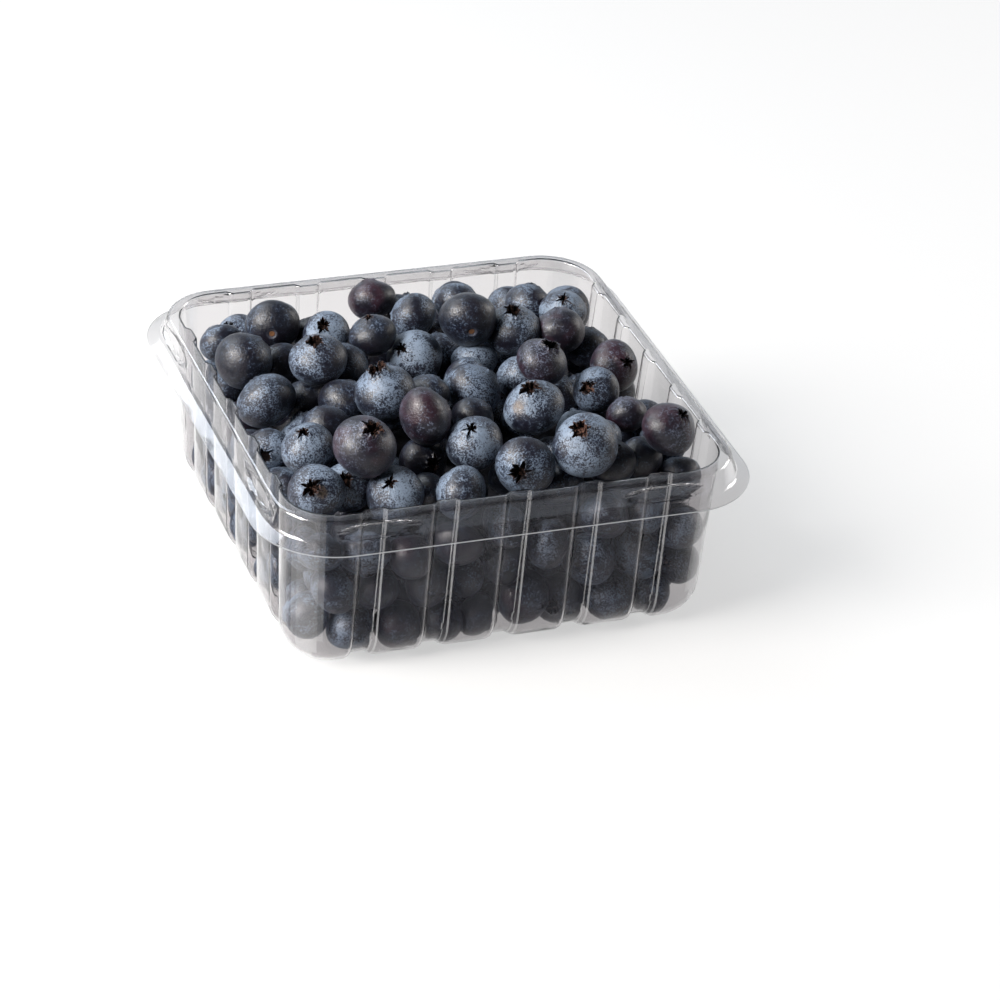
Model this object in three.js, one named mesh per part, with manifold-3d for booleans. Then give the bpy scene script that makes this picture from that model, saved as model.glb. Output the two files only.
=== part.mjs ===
// A punnet of blueberries: a clear, square, ribbed tray with a wide rim, filled with a heap of berries.
// Millimetres, +Z up. The origin is under the middle of the tray, on the surface that it stands on.
import * as THREE from "three";
import { mergeVertices } from "three/addons/utils/BufferGeometryUtils.js";
import Module from "manifold-3d";

const wasm = await Module();
wasm.setup();

// Driving dimensions of the tray. A drop is measured down from the top of the rim, and "out" is measured
// outwards from the edge of the ledge, the flat top of the rim.
const HEIGHT = 48;
const WALL = 0.6;
const LEANING_WALL = 0.7 * WALL;
const LEDGE = { half: 60, radius: 15, rounding: 1 };
const COLLAR = { drop: 5.8, out: 1.9 };
const FLANGE = { drop: 7, out: 5.3, edge: 0.6 };
const BODY = { half: 57.2, radius: 11, drawIn: 0.035, footRounding: 10 };
const RIB = { count: 5, pitch: 18.7, width: 7.2, flank: 1.2, depth: 2.3 };
const CATCH = { length: 22, height: 3.6, depth: 1, drop: 3.4, ribsFromMiddle: 2 };

// The heap stands clear of the tray by a hair, and its bed is the packed mass under the berries on top.
const CLEARANCE = 0.3;
const BED = [
  { drop: 12, share: 0.97 },
  { drop: 8, share: 0.86 },
  { drop: 4.5, share: 0.6 },
  { drop: 2.5, share: 0.3 },
];

// The berries on top, row by row from the back wall to the front wall. Each one is
// [right of the middle, behind the middle, centre above the rim, diameter].
const TOP_ROWS = [
  [[-48.5, 38, -4.5, 12], [-34.5, 37, 0, 14], [-23.5, 37, -4.5, 11.5], [-3.5, 47.5, -2, 13], [3, 33, 0, 13]],
  [[17, 39, -1, 12.5], [37, 38, -3, 12.5], [43.5, 29, -1, 12.5], [-23, 27.5, 1, 12.5], [-50, 28, -13, 12.5]],
  [[-36, 26, -5.5, 12.5], [-47, 22, -1, 15.5], [-13.5, 18.5, 4.5, 12.5], [12, 17, 7, 15], [7.5, 24, -7.5, 13]],
  [[24.5, 17, 2, 15], [37, 14.5, 1.5, 13], [46, 17, -5.5, 12.5], [24, 20, -10, 12.5], [14, 15, -4.5, 12]],
  [[-32, 7, 6, 15], [-22.5, 12.5, -0.5, 13], [-34, 8, -6.5, 12.5], [-46.5, 3, -2, 15.5], [-2.5, 15.5, -2, 15]],
  [[-28, -3.5, -1.5, 13.5], [-20.5, -12, 5.5, 15.5], [5, -7.5, 0.5, 14.5], [20.5, -1.5, -2, 13], [47, 0, -2, 13.5]],
  [[22.5, -9, 7, 13.5], [36.5, -14, 0, 12], [39, -10, -9.5, 11.5], [-7.5, -9.5, 2, 11.5], [1, -19, -1, 11.5]],
  [[-50.5, -12, -8, 12.5], [-36.5, -14, -1.5, 12.5], [-48.5, -20, -13.5, 12], [-14.5, -26.5, 6, 14.5]],
  [[-44, -24, -1, 14], [-15, -28, -6, 12.5], [14.5, -26, 4.5, 15.5], [40.5, -25.5, -1.5, 11], [-4, -34, 1, 15]],
  [[-34.5, -37.5, 6, 16], [-37, -34.5, -7, 13], [-47.5, -40.5, -3.5, 14.5], [-27.5, -43, -5, 14.5]],
  [[-12, -48, -4, 13.5], [5.5, -46, 0, 14.5], [15.5, -45, -7.5, 12.5], [20.5, -47, 4.5, 16.5]],
  [[29.5, -44, -3.5, 12.5], [39, -39, -7, 13], [45, -41.5, 3.5, 14.5], [48.5, -43, -11.5, 13]],
];

// How finely round stretches are cut. A berry's flat faces lie inside its round skin, so it is spread to match.
const ARC_STEPS = 4;
const FOOT_STEPS = 3;
const CATCH_FACES = { around: 8, down: 4 };
const BERRY = { detail: 1, spread: 1.06 };

/** A solid from a closed geometry, with only its corner points kept. */
function solidOf(geometry) {
  const bare = new THREE.BufferGeometry();
  bare.setAttribute("position", geometry.getAttribute("position"));
  if (geometry.index) bare.setIndex(geometry.index);
  const merged = mergeVertices(bare, 1e-4);
  const vertProperties = new Float32Array(merged.getAttribute("position").array);
  const triVerts = new Uint32Array(merged.index.array);
  return new wasm.Manifold(new wasm.Mesh({ numProp: 3, vertProperties, triVerts }));
}

/** The geometry of a solid. */
function geometryOf(solid) {
  const { vertProperties, triVerts } = solid.getMesh();
  const geometry = new THREE.BufferGeometry();
  geometry.setAttribute("position", new THREE.BufferAttribute(vertProperties, 3));
  geometry.setIndex(new THREE.BufferAttribute(triVerts, 1));
  geometry.computeVertexNormals();
  return geometry;
}

/** A square with round corners, run anticlockwise. */
function roundedSquare(half, radius) {
  const shape = new THREE.Shape();
  for (let corner = 0; corner < 4; corner++) {
    const end = (corner * Math.PI) / 2;
    const x = (half - radius) * (corner === 0 || corner === 1 ? 1 : -1);
    const y = (half - radius) * (corner === 1 || corner === 2 ? 1 : -1);
    shape.absarc(x, y, radius, end - Math.PI / 2, end, false);
  }
  return shape;
}

/** The outline of the tray's body: a rounded square whose sides step inwards at each rib. */
function ribbedSquare(inset) {
  const half = BODY.half - inset;
  const radius = BODY.radius - inset;
  const straight = half - radius;
  const foot = RIB.width / 2 + inset;
  const crest = foot - RIB.flank;
  const shape = new THREE.Shape();
  for (let side = 0; side < 4; side++) {
    const turn = (side * Math.PI) / 2;
    const turned = (x, y) => [
      x * Math.cos(turn) - y * Math.sin(turn),
      x * Math.sin(turn) + y * Math.cos(turn),
    ];
    for (let rib = 0; rib < RIB.count; rib++) {
      const middle = (rib - (RIB.count - 1) / 2) * RIB.pitch;
      const steps = [[-foot, 0], [-crest, RIB.depth], [crest, RIB.depth], [foot, 0]];
      for (const [along, inwards] of steps) {
        const point = turned(middle + along, -half + inwards);
        if (side === 0 && rib === 0 && along === -foot) shape.moveTo(...point);
        else shape.lineTo(...point);
      }
    }
    shape.lineTo(...turned(straight, -half));
    shape.absarc(...turned(straight, -straight), radius, turn - Math.PI / 2, turn, false);
  }
  return shape;
}

/** A closed body through the levels, each of which says its height and where the outline's points go. */
function lofted(outline, levels) {
  const steps = levels.length - 1;
  const geometry = new THREE.ExtrudeGeometry(outline, {
    depth: steps,
    steps,
    bevelEnabled: false,
    curveSegments: ARC_STEPS,
  });
  const position = geometry.getAttribute("position");
  for (let i = 0; i < position.count; i++) {
    const level = levels[Math.round(position.getZ(i))];
    const [x, y] = level.place(position.getX(i), position.getY(i));
    position.setXYZ(i, x, y, level.z);
  }
  return solidOf(geometry);
}

/** A level that shrinks or grows the outline about its middle. */
function scaledLevel(z, share) {
  return { z, place: (x, y) => [x * share, y * share] };
}

/** A level that moves the ledge's outline outwards by a distance, keeping its corners round. */
function movedLevel(drop, out) {
  const centre = LEDGE.half - LEDGE.radius;
  const growth = (LEDGE.radius + out) / LEDGE.radius;
  const moved = (v) => Math.sign(v) * (centre + (Math.abs(v) - centre) * growth);
  return { z: HEIGHT - drop, place: (x, y) => [moved(x), moved(y)] };
}

/** How much of its width at the rim the body still has at a height. */
function drawnIn(z) {
  return 1 - BODY.drawIn * (1 - z / HEIGHT);
}

/** The levels of the body from its rounded foot up to a height just past the last straight stretch. */
function bodyLevels(inset, top) {
  const rounding = BODY.footRounding - inset;
  const levels = [];
  for (let i = 0; i <= FOOT_STEPS; i++) {
    const angle = ((i / FOOT_STEPS) * Math.PI) / 2;
    const z = inset + rounding * (1 - Math.cos(angle));
    const pulledIn = rounding * (1 - Math.sin(angle));
    levels.push(scaledLevel(z, drawnIn(z) - pulledIn / (BODY.half - inset)));
  }
  levels.push(scaledLevel(top, drawnIn(top)));
  return levels;
}

/** The body of the tray or the space in it, inset by a distance from its outer face. */
function bodySolid(inset, top) {
  return lofted(ribbedSquare(inset), bodyLevels(inset, top));
}

/** The rim as a solid cap: ledge on top, a sloping collar and the flange that stands out at its foot. */
function rimCap() {
  return lofted(roundedSquare(LEDGE.half, LEDGE.radius), [
    movedLevel(FLANGE.drop + FLANGE.edge, FLANGE.out),
    movedLevel(FLANGE.drop, FLANGE.out),
    movedLevel(COLLAR.drop, COLLAR.out),
    movedLevel(LEDGE.rounding, 0),
    movedLevel(0, -LEDGE.rounding),
  ]);
}

/** The space under the rim, which leaves one wall thickness of the cap. */
function underRim() {
  const overshoot = 0.7;
  const slope = (FLANGE.drop - COLLAR.drop) / (FLANGE.out - COLLAR.out);
  return lofted(roundedSquare(LEDGE.half, LEDGE.radius), [
    movedLevel(FLANGE.drop + WALL + slope * overshoot, FLANGE.out + overshoot),
    movedLevel(COLLAR.drop + WALL, COLLAR.out - LEANING_WALL),
    movedLevel(LEDGE.rounding + WALL / 2, -WALL),
    movedLevel(WALL, -LEDGE.rounding - LEANING_WALL),
  ]);
}

/** One lens-shaped lid catch on a side of the collar. */
function catchLens(side, along, growth) {
  const lens = new THREE.SphereGeometry(1, CATCH_FACES.around, CATCH_FACES.down);
  lens.scale(CATCH.length / 2 + growth, CATCH.depth + growth, CATCH.height / 2 + growth);
  const face = LEDGE.half + (COLLAR.out * (CATCH.drop - LEDGE.rounding)) / (COLLAR.drop - LEDGE.rounding);
  lens.translate(along, -face, HEIGHT - CATCH.drop);
  lens.rotateZ((side * Math.PI) / 2);
  return solidOf(lens);
}

/** The rim with its lid catches pressed into the collar, two on each side. */
function rimSolid() {
  const cap = rimCap();
  let rim = cap.subtract(underRim());
  for (let side = 0; side < 4; side++) {
    for (const end of [-1, 1]) {
      const along = end * CATCH.ribsFromMiddle * RIB.pitch;
      const dent = catchLens(side, along, WALL).intersect(cap);
      rim = rim.add(dent).subtract(catchLens(side, along, 0));
    }
  }
  return rim;
}

/** The clear tray: rim and body in one skin, open at the top. */
function traySolid() {
  const insideRim = HEIGHT - WALL / 2;
  const through = HEIGHT + WALL;
  return bodySolid(0, insideRim).add(rimSolid()).subtract(bodySolid(WALL, through));
}

/** The packed mass of berries that fills the tray between its ribs, up to the berries on top. */
function bedSolid() {
  const inset = WALL + CLEARANCE;
  const levels = bodyLevels(inset, HEIGHT);
  levels.pop();
  for (const { drop, share } of BED) levels.push(scaledLevel(HEIGHT - drop, share));
  const side = inset + RIB.depth;
  return lofted(roundedSquare(BODY.half - side, BODY.radius - side), levels);
}

/** One berry as a plain ball, turned by its number so that no two facets line up. */
function berrySolid([right, behind, above, diameter], number) {
  const ball = new THREE.OctahedronGeometry((diameter / 2) * BERRY.spread, BERRY.detail);
  ball.rotateX(number);
  ball.rotateZ(2 * number);
  ball.translate(right, behind, HEIGHT + above);
  return solidOf(ball);
}

/** The heap: bed and top berries in one solid, cut to the inside of the tray. */
function heapSolid() {
  const aboveHeap = HEIGHT + 20;
  const berries = TOP_ROWS.flat().map(berrySolid);
  const room = bodySolid(WALL + CLEARANCE, aboveHeap);
  return berries.reduce((heap, berry) => heap.add(berry), bedSolid()).intersect(room);
}

/** A named sub-part with its own finish. */
function part(name, solid, finish) {
  const mesh = new THREE.Mesh(geometryOf(solid), new THREE.MeshStandardMaterial(finish));
  mesh.name = name;
  return mesh;
}

const punnet = new THREE.Group();
punnet.add(
  part("tray", traySolid(), {
    color: 0xe9eaea,
    roughness: 0.08,
    metalness: 0,
    transparent: true,
    opacity: 0.3,
  }),
  part("berry_heap", heapSolid(), { color: 0x262f40, roughness: 0.6, metalness: 0 }),
);

export default punnet;
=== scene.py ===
"""A punnet of blueberries: a clear formed tray, the berries heaped in it and a near-black block of painted
shade under them.
"""
import logging
import math
from dataclasses import dataclass, field
from enum import Enum
from itertools import product
from typing import Callable, Iterable, NamedTuple, Optional, Sequence

import bmesh
import bpy
import numpy as np
from mathutils import Matrix, Vector


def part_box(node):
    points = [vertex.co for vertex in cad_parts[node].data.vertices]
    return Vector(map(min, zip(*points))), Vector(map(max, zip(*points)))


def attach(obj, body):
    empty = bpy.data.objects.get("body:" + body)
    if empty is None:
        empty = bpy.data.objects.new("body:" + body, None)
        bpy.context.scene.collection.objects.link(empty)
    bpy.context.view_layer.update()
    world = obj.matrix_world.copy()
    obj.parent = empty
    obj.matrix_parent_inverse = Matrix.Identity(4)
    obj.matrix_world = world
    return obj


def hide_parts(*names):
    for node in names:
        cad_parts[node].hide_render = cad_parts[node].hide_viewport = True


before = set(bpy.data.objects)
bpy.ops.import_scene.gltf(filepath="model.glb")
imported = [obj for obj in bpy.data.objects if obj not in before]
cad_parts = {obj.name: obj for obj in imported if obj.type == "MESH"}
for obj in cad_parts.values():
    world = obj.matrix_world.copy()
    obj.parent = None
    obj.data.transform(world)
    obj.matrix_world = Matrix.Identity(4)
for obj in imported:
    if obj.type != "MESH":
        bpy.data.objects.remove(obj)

LOG = logging.getLogger("punnet")
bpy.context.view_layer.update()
BODY = "root"
MM = 0.001

Colour = tuple[float, float, float]
Span = tuple[float, float]
Array = np.ndarray
Piece = bpy.types.Object
Socket = bpy.types.NodeSocket
Material = bpy.types.Material
Chance = np.random.Generator

UNIT: Span = (0.0, 1.0)
TINY = 1e-9


# ---------------- mesh helpers


def edit(editing: bool = True) -> None:
    """Puts the active piece into edit mode, or takes it out of it."""
    bpy.ops.object.mode_set(mode="EDIT" if editing else "OBJECT")


def deselect_all() -> None:
    """Goes to object mode with nothing selected, so that an operator acts only on what is added next."""
    if bpy.context.object and bpy.context.object.mode != "OBJECT":
        edit(False)
    bpy.ops.object.select_all(action="DESELECT")


def work_on(piece: Piece) -> None:
    """Makes a piece the active object and the only one that is selected.

    Args:
        piece: The object to work on.
    """
    deselect_all()
    piece.select_set(True)
    bpy.context.view_layer.objects.active = piece


def select_where(piece: Piece, wanted: Callable[[Vector], bool], points: bool = False) -> None:
    """Selects, in edit mode, the faces or the points whose place passes a test.

    Args:
        piece: The object in edit mode.
        wanted: Says of a face's centre, or of a point, whether it is selected.
        points: True to select points.
    """
    bpy.ops.mesh.select_mode(type="VERT" if points else "FACE")
    bpy.ops.mesh.select_all(action="DESELECT")
    shape = bmesh.from_edit_mesh(piece.data)
    for part in shape.verts if points else shape.faces:
        if wanted(part.co if points else part.calc_center_bounds()):
            part.select_set(True)
    shape.select_flush_mode()
    bmesh.update_edit_mesh(piece.data)


def settle_in_place(piece: Piece) -> None:
    """Puts a piece's place into its mesh, so that its object sits at the origin."""
    work_on(piece)
    bpy.ops.object.transform_apply(location=True, rotation=True, scale=True)


def add_modifier(piece: Piece, kind: str, **settings: object) -> None:
    """Gives a piece a modifier and applies it.

    Args:
        piece: The object to change.
        kind: The modifier's type, in capitals.
        **settings: Values set on the modifier.
    """
    work_on(piece)
    modifier = piece.modifiers.new(kind.title(), kind)
    for name, value in settings.items():
        setattr(modifier, name, value)
    bpy.ops.object.modifier_apply(modifier=modifier.name)


def smooth_by_angle(piece: Piece, degrees: float) -> None:
    """Shades a piece smooth, apart from edges sharper than an angle."""
    work_on(piece)
    bpy.ops.object.shade_smooth_by_angle(angle=math.radians(degrees))


def read(data: bpy.types.bpy_prop_collection, name: str, kind: type, width: int = 1) -> Array:
    """Reads a property of all of a mesh's points, corners or faces.

    Args:
        data: The points, corners or faces.
        name: The property.
        kind: The type of its numbers.
        width: How many numbers each one has.

    Returns:
        The values, one row each.
    """
    values = np.empty(len(data) * width, kind)
    data.foreach_get(name, values)
    return values.reshape(-1, width).squeeze()


# ---------------- shader helpers


class Patch(NamedTuple):
    """A pattern of soft patches: its scale and detail, and the levels between which the mask rises."""

    scale: float
    detail: float
    low: float
    high: float


class Graph:
    """A node tree with short calls that place its nodes and join them."""

    def __init__(self, tree: bpy.types.NodeTree) -> None:
        """Starts on an empty tree."""
        self.tree = tree
        tree.nodes.clear()

    def add(self, kind: str, inputs: Optional[dict] = None, **settings: object) -> bpy.types.Node:
        """Places a node.

        Args:
            kind: The node's type.
            inputs: Sockets by name or number, each with a value or with another node's output.
            **settings: Values set on the node itself.

        Returns:
            The node.
        """
        node = self.tree.nodes.new(kind)
        for name, value in settings.items():
            setattr(node, name, value)
        for key, value in (inputs or {}).items():
            socket = node.inputs[key]
            if isinstance(value, Socket):
                self.tree.links.new(value, socket)
            else:
                socket.default_value = (*value, 1.0) if socket.type == "RGBA" else value
        return node

    def math(self, operation: str, *values: object, clamp: bool = False) -> Socket:
        """The result of a Math node on values or sockets."""
        node = self.add("ShaderNodeMath", dict(enumerate(values)), operation=operation, use_clamp=clamp)
        return node.outputs[0]

    def times(self, *values: object, clamp: bool = False) -> Socket:
        """Two values multiplied."""
        return self.math("MULTIPLY", *values, clamp=clamp)

    def blend(self, share: object, first: object, second: object) -> Socket:
        """A colour between two, by a share from 0 to 1."""
        return self.add("ShaderNodeMix", {0: share, 6: first, 7: second}, data_type="RGBA").outputs[2]

    def ramp(self, value: object, source: Sequence, target: Span = UNIT) -> Socket:
        """Eases a value from one span to another.

        Args:
            value: The value, or the output that gives it.
            source: The span that it runs over, as two numbers or outputs.
            target: The span that the result runs over.

        Returns:
            The result.
        """
        labels = ("Value", "From Min", "From Max", "To Min", "To Max")
        inputs = dict(zip(labels, (value, *source, *target)))
        return self.add("ShaderNodeMapRange", inputs, interpolation_type="SMOOTHSTEP").outputs["Result"]

    def attribute(self, name: str, output: str = "Fac") -> Socket:
        """An attribute that the mesh carries."""
        return self.add("ShaderNodeAttribute", attribute_name=name).outputs[output]

    def patches(self, pattern: Patch) -> Socket:
        """Places the node group of soft patches that the finishes share.

        Args:
            pattern: The size and the edges of the patches.

        Returns:
            A mask from 0 to 1.
        """
        inputs = dict(zip(("Scale", "Detail", "Low", "High"), pattern))
        inputs["Vector"] = self.add("ShaderNodeTexCoord").outputs["Object"]
        return self.add("ShaderNodeGroup", inputs, node_tree=bpy.data.node_groups["patches"]).outputs["Mask"]

    def bump(self, height: Socket, strength: float, distance: float) -> Socket:
        """A normal that follows a height."""
        inputs = {"Height": height, "Strength": strength, "Distance": distance}
        return self.add("ShaderNodeBump", inputs).outputs["Normal"]

    def mix(self, share: Socket, first: bpy.types.Node, second: bpy.types.Node) -> bpy.types.Node:
        """One shader, or another by a share from 0 to 1."""
        return self.add("ShaderNodeMixShader", {0: share, 1: first.outputs[0], 2: second.outputs[0]})

    def cover(self, shader: bpy.types.Node) -> None:
        """Puts a shader on the surface."""
        self.add("ShaderNodeOutputMaterial", {"Surface": shader.outputs[0]})


def build_patches(roughness: float = 0.62, distortion: float = 0.3) -> None:
    """Builds the node group of soft irregular patches, which puts out a mask from 0 to 1.

    Args:
        roughness: How much of the noise is in its finer parts.
        distortion: How far its patches are bent out of round.
    """
    tree = bpy.data.node_groups.new("patches", "ShaderNodeTree")
    graph = Graph(tree)
    tree.interface.new_socket("Vector", in_out="INPUT", socket_type="NodeSocketVector")
    for label, value in (("Scale", 100.0), ("Detail", 4.0), ("Low", 0.4), ("High", 0.6)):
        socket = tree.interface.new_socket(label, in_out="INPUT", socket_type="NodeSocketFloat")
        socket.default_value = value
    tree.interface.new_socket("Mask", in_out="OUTPUT", socket_type="NodeSocketFloat")
    given = graph.add("NodeGroupInput").outputs
    inputs = {label: given[label] for label in ("Vector", "Scale", "Detail")}
    noise = graph.add("ShaderNodeTexNoise", {**inputs, "Roughness": roughness, "Distortion": distortion})
    graph.add("NodeGroupOutput", {"Mask": graph.ramp(noise.outputs[0], (given["Low"], given["High"]))})


# ---------------- finishes


def new_material(name: str) -> tuple[Material, Graph]:
    """Starts a material.

    Args:
        name: Its name.

    Returns:
        The material and its graph.
    """
    material = bpy.data.materials.new(name)
    material.use_nodes = True
    return material, Graph(material.node_tree)


@dataclass(frozen=True)
class ClearSheet:
    """Thin clear formed plastic: faintly grey, glossy, with the slow ripple of a drawn sheet; its rim,
    corners and rib edges have a lighter tint that is painted light.
    """

    tint: Colour = (0.745, 0.73, 0.735)
    lit_rim_tint: Colour = (0.80, 0.79, 0.797)
    lit_rim_marks: Span = (0.0, 0.2)
    shadow_tint: Colour = (0.91, 0.91, 0.91)
    bend: float = 1.5
    head_on_mirror: Colour = (0.10, 0.11, 0.165)
    coat_bend: float = 3.2
    coat_roughness: float = 0.12
    roughness: float = 0.015
    smears: Patch = Patch(240.0, 6.0, 0.45, 0.85)
    smear_roughness: float = 0.04
    smear_gloss: Span = (0.8, 1.0)
    waves: Patch = Patch(70.0, 1.0, 0.2, 0.8)
    wave_strength: float = 0.12
    wave_height: float = 0.0012

    def material(self) -> Material:
        """Builds the material.

        Returns:
            The material.
        """
        material, graph = new_material("clear_sheet")
        smears, waves = graph.patches(self.smears), graph.patches(self.waves)
        mark = graph.attribute("gloss")
        sheet = graph.add(
            "ShaderNodeBsdfPrincipled",
            {
                # The marked faces take a lighter tint: painted light that brightens them.
                "Base Color": graph.blend(graph.ramp(mark, self.lit_rim_marks), self.tint, self.lit_rim_tint),
                "Roughness": graph.math("MULTIPLY_ADD", smears, self.smear_roughness, self.roughness),
                "IOR": self.bend,
                "Specular Tint": self.head_on_mirror,
                "Transmission Weight": 1.0,
                "Coat Weight": graph.times(mark, graph.ramp(smears, UNIT, self.smear_gloss)),
                "Coat IOR": self.coat_bend,
                "Coat Roughness": self.coat_roughness,
                "Normal": graph.bump(waves, self.wave_strength, self.wave_height),
            },
        )
        passed = graph.add("ShaderNodeBsdfTransparent", {"Color": self.shadow_tint})
        ray = graph.add("ShaderNodeLightPath").outputs
        unbent = graph.math("MAXIMUM", ray["Is Shadow Ray"], ray["Is Diffuse Ray"])
        graph.cover(graph.mix(unbent, sheet, passed))
        return material


@dataclass(frozen=True)
class CutEdge:
    """The sheet's cut edge round the flange, which catches light along its whole length."""

    colour: Colour = (0.45, 0.46, 0.48)
    metallic: float = 0.6
    roughness: float = 0.3

    def material(self) -> Material:
        """Builds the material.

        Returns:
            The material.
        """
        material, graph = new_material("cut_edge")
        inputs = {"Base Color": self.colour, "Metallic": self.metallic, "Roughness": self.roughness}
        graph.cover(graph.add("ShaderNodeBsdfPrincipled", inputs))
        return material


@dataclass(frozen=True)
class BerrySkin:
    """Dark berry skin under a patchy waxy bloom, with a brown crown whose hollow has painted shade, and a
    tan stem scar.
    """

    name: str
    skin: Colour
    blush: Colour
    film: Colour
    bloom: Colour
    bloom_more: float
    crown_dark_and_shade: Colour = (0.004, 0.003, 0.003)
    crown_brown: Colour = (0.085, 0.034, 0.019)
    crown_roughness: float = 0.8
    crown_shade_metal: float = 0.95
    scar_dull: Colour = (0.012, 0.009, 0.009)
    scar_tan: Colour = (0.16, 0.075, 0.035)
    scar_disc: Span = (0.085, 0.115)
    ring: Colour = (0.08, 0.08, 0.10)
    ring_edge: Span = (0.15, 0.22)
    ring_share: float = 0.6
    russet: Colour = (0.105, 0.062, 0.026)
    russet_edge: Span = (0.75, 1.45)
    russet_share: Span = (0.0, 0.80)
    russet_speckle: float = 0.7
    wide: Patch = Patch(135.0, 2.0, 0.32, 0.68)
    mottle: Patch = Patch(900.0, 4.0, 0.36, 0.64)
    grain: Patch = Patch(2400.0, 3.0, 0.41, 0.59)
    flecks: Patch = Patch(2000.0, 3.0, 0.58, 0.66)
    blotches: Patch = Patch(120.0, 2.0, 0.42, 0.62)
    shreds: Patch = Patch(1300.0, 3.0, 0.46, 0.62)
    halo_reach: Span = (0.25, 0.97)
    halo: Span = (0.0, 0.42)
    film_spread: Span = (0.35, 0.95)
    film_by_bloom: Span = (0.45, 1.0)
    film_by_mottle: Span = (0.30, 1.0)
    powder_spread: Span = (0.08, 0.84)
    mottle_and_grain: Span = (0.30, 0.70)
    cover_edge: Span = (0.84, 1.46)
    fleck_share: float = 0.85
    rough_cover: Span = (0.0, 0.8)
    roughness: Span = (0.33, 0.46)
    bend: float = 1.5
    sheen: float = 0.08
    sheen_roughness: float = 0.35
    sheen_tint: Colour = (0.62, 0.78, 1.0)
    relief: Span = (0.8, 0.4)
    relief_strength: float = 0.4
    relief_height: float = 0.00010

    def material(self) -> Material:
        """Builds the material.

        Returns:
            The material.
        """
        material, graph = new_material(self.name)
        look = graph.add("ShaderNodeSeparateColor", {0: graph.attribute("berry_look", "Color")}).outputs
        axes = graph.add("ShaderNodeSeparateXYZ", {0: graph.attribute("berry_local", "Vector")}).outputs
        inside = graph.attribute("crown_inside")
        up = axes[2]
        wide, mottle, grain, flecks, blotches, shreds = (
            graph.patches(pattern)
            for pattern in (self.wide, self.mottle, self.grain, self.flecks, self.blotches, self.shreds)
        )

        def sum_of(first: Socket, first_share: float, second: Socket, second_share: float) -> Socket:
            """Two values, each times a share, added up."""
            second = graph.times(second, second_share)
            return graph.math("MULTIPLY_ADD", first, first_share, second)

        # The bloom is a powder over a thin blue film, thicker by the crown and rubbed off in patches.
        halo = graph.ramp(up, self.halo_reach, self.halo)
        amount = graph.times(look[0], self.bloom_more)
        film = graph.math("ADD", graph.ramp(wide, UNIT, self.film_spread), halo)
        film = graph.times(film, graph.ramp(amount, UNIT, self.film_by_bloom), clamp=True)
        film = graph.times(film, graph.ramp(mottle, UNIT, self.film_by_mottle))
        powder = graph.math("ADD", graph.ramp(wide, UNIT, self.powder_spread), halo)
        powder = graph.times(powder, amount)
        speckle = sum_of(mottle, self.mottle_and_grain[0], grain, self.mottle_and_grain[1])
        cover = graph.ramp(graph.math("ADD", powder, speckle), self.cover_edge)

        ruddy = graph.times(look[1], blotches, clamp=True)
        colour = graph.blend(ruddy, self.skin, self.blush)
        film = graph.times(film, graph.math("SUBTRACT", 1.0, ruddy))
        colour = graph.blend(film, colour, self.film)
        colour = graph.blend(cover, colour, self.bloom)
        colour = graph.blend(graph.times(flecks, self.fleck_share), colour, self.skin)

        # The stem scar at the far pole: a tan disc in a pale ring.
        flat = graph.add("ShaderNodeCombineXYZ", {0: axes[0], 1: axes[1], 2: 0.0}).outputs[0]
        off_axis = graph.add("ShaderNodeVectorMath", {0: flat}, operation="LENGTH").outputs["Value"]
        below = graph.math("LESS_THAN", up, 0.0)
        ring = graph.times(graph.ramp(off_axis, self.ring_edge, (1.0, 0.0)), below)
        disc = graph.times(graph.ramp(off_axis, self.scar_disc, (1.0, 0.0)), below)
        tan = graph.attribute("berry_look", "Alpha")
        pale = graph.times(ring, graph.times(tan, self.ring_share))
        colour = graph.blend(pale, colour, self.ring)
        colour = graph.blend(disc, colour, graph.blend(tan, self.scar_dull, self.scar_tan))

        # A rubbed, corky mark on a few berries.
        rubbed = sum_of(graph.attribute("russet"), 1.0, speckle, self.russet_speckle)
        colour = graph.blend(graph.ramp(rubbed, self.russet_edge, self.russet_share), colour, self.russet)

        # The crown's inside: its dark calyx and the shade in its hollow painted near black, with brown
        # shreds on some berries.
        brown = graph.times(shreds, look[2])
        colour = graph.blend(inside, colour, graph.blend(brown, self.crown_dark_and_shade, self.crown_brown))

        roughness = graph.ramp(cover, self.rough_cover, self.roughness)
        roughness = graph.math("MAXIMUM", roughness, graph.times(inside, self.crown_roughness))
        relief = sum_of(grain, self.relief[0], mottle, self.relief[1])
        # Near-black metal reflects almost nothing: painted shade in the crown's hollow, left off the brown
        # shreds.
        hollow_shade_metal = graph.math("SUBTRACT", self.crown_shade_metal, brown, clamp=True)
        skin = graph.add(
            "ShaderNodeBsdfPrincipled",
            {
                "Base Color": colour,
                "Roughness": roughness,
                "Metallic": graph.times(inside, hollow_shade_metal),
                "IOR": self.bend,
                "Sheen Weight": self.sheen,
                "Sheen Roughness": self.sheen_roughness,
                "Sheen Tint": self.sheen_tint,
                "Normal": graph.bump(relief, self.relief_strength, self.relief_height),
            },
        )
        graph.cover(skin)
        return material


@dataclass(frozen=True)
class PaintedShadeMass:
    """Painted shade: the near-black of berries packed out of the light, put on a block that stands in their
    place.
    """

    dark: Colour = (0.004, 0.004, 0.006)
    lighter: Colour = (0.012, 0.013, 0.020)
    clumps: Patch = Patch(180.0, 4.0, 0.40, 0.65)
    roughness: float = 0.8
    relief_strength: float = 0.5
    relief_height: float = 0.0006

    def material(self) -> Material:
        """Builds the material.

        Returns:
            The material.
        """
        material, graph = new_material("painted_shade_mass")
        clumps = graph.patches(self.clumps)
        # Near-black painted shade, a little lighter in clumps.
        inputs = {
            "Base Color": graph.blend(clumps, self.dark, self.lighter),
            "Roughness": self.roughness,
            "Normal": graph.bump(clumps, self.relief_strength, self.relief_height),
        }
        graph.cover(graph.add("ShaderNodeBsdfPrincipled", inputs))
        return material


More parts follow.
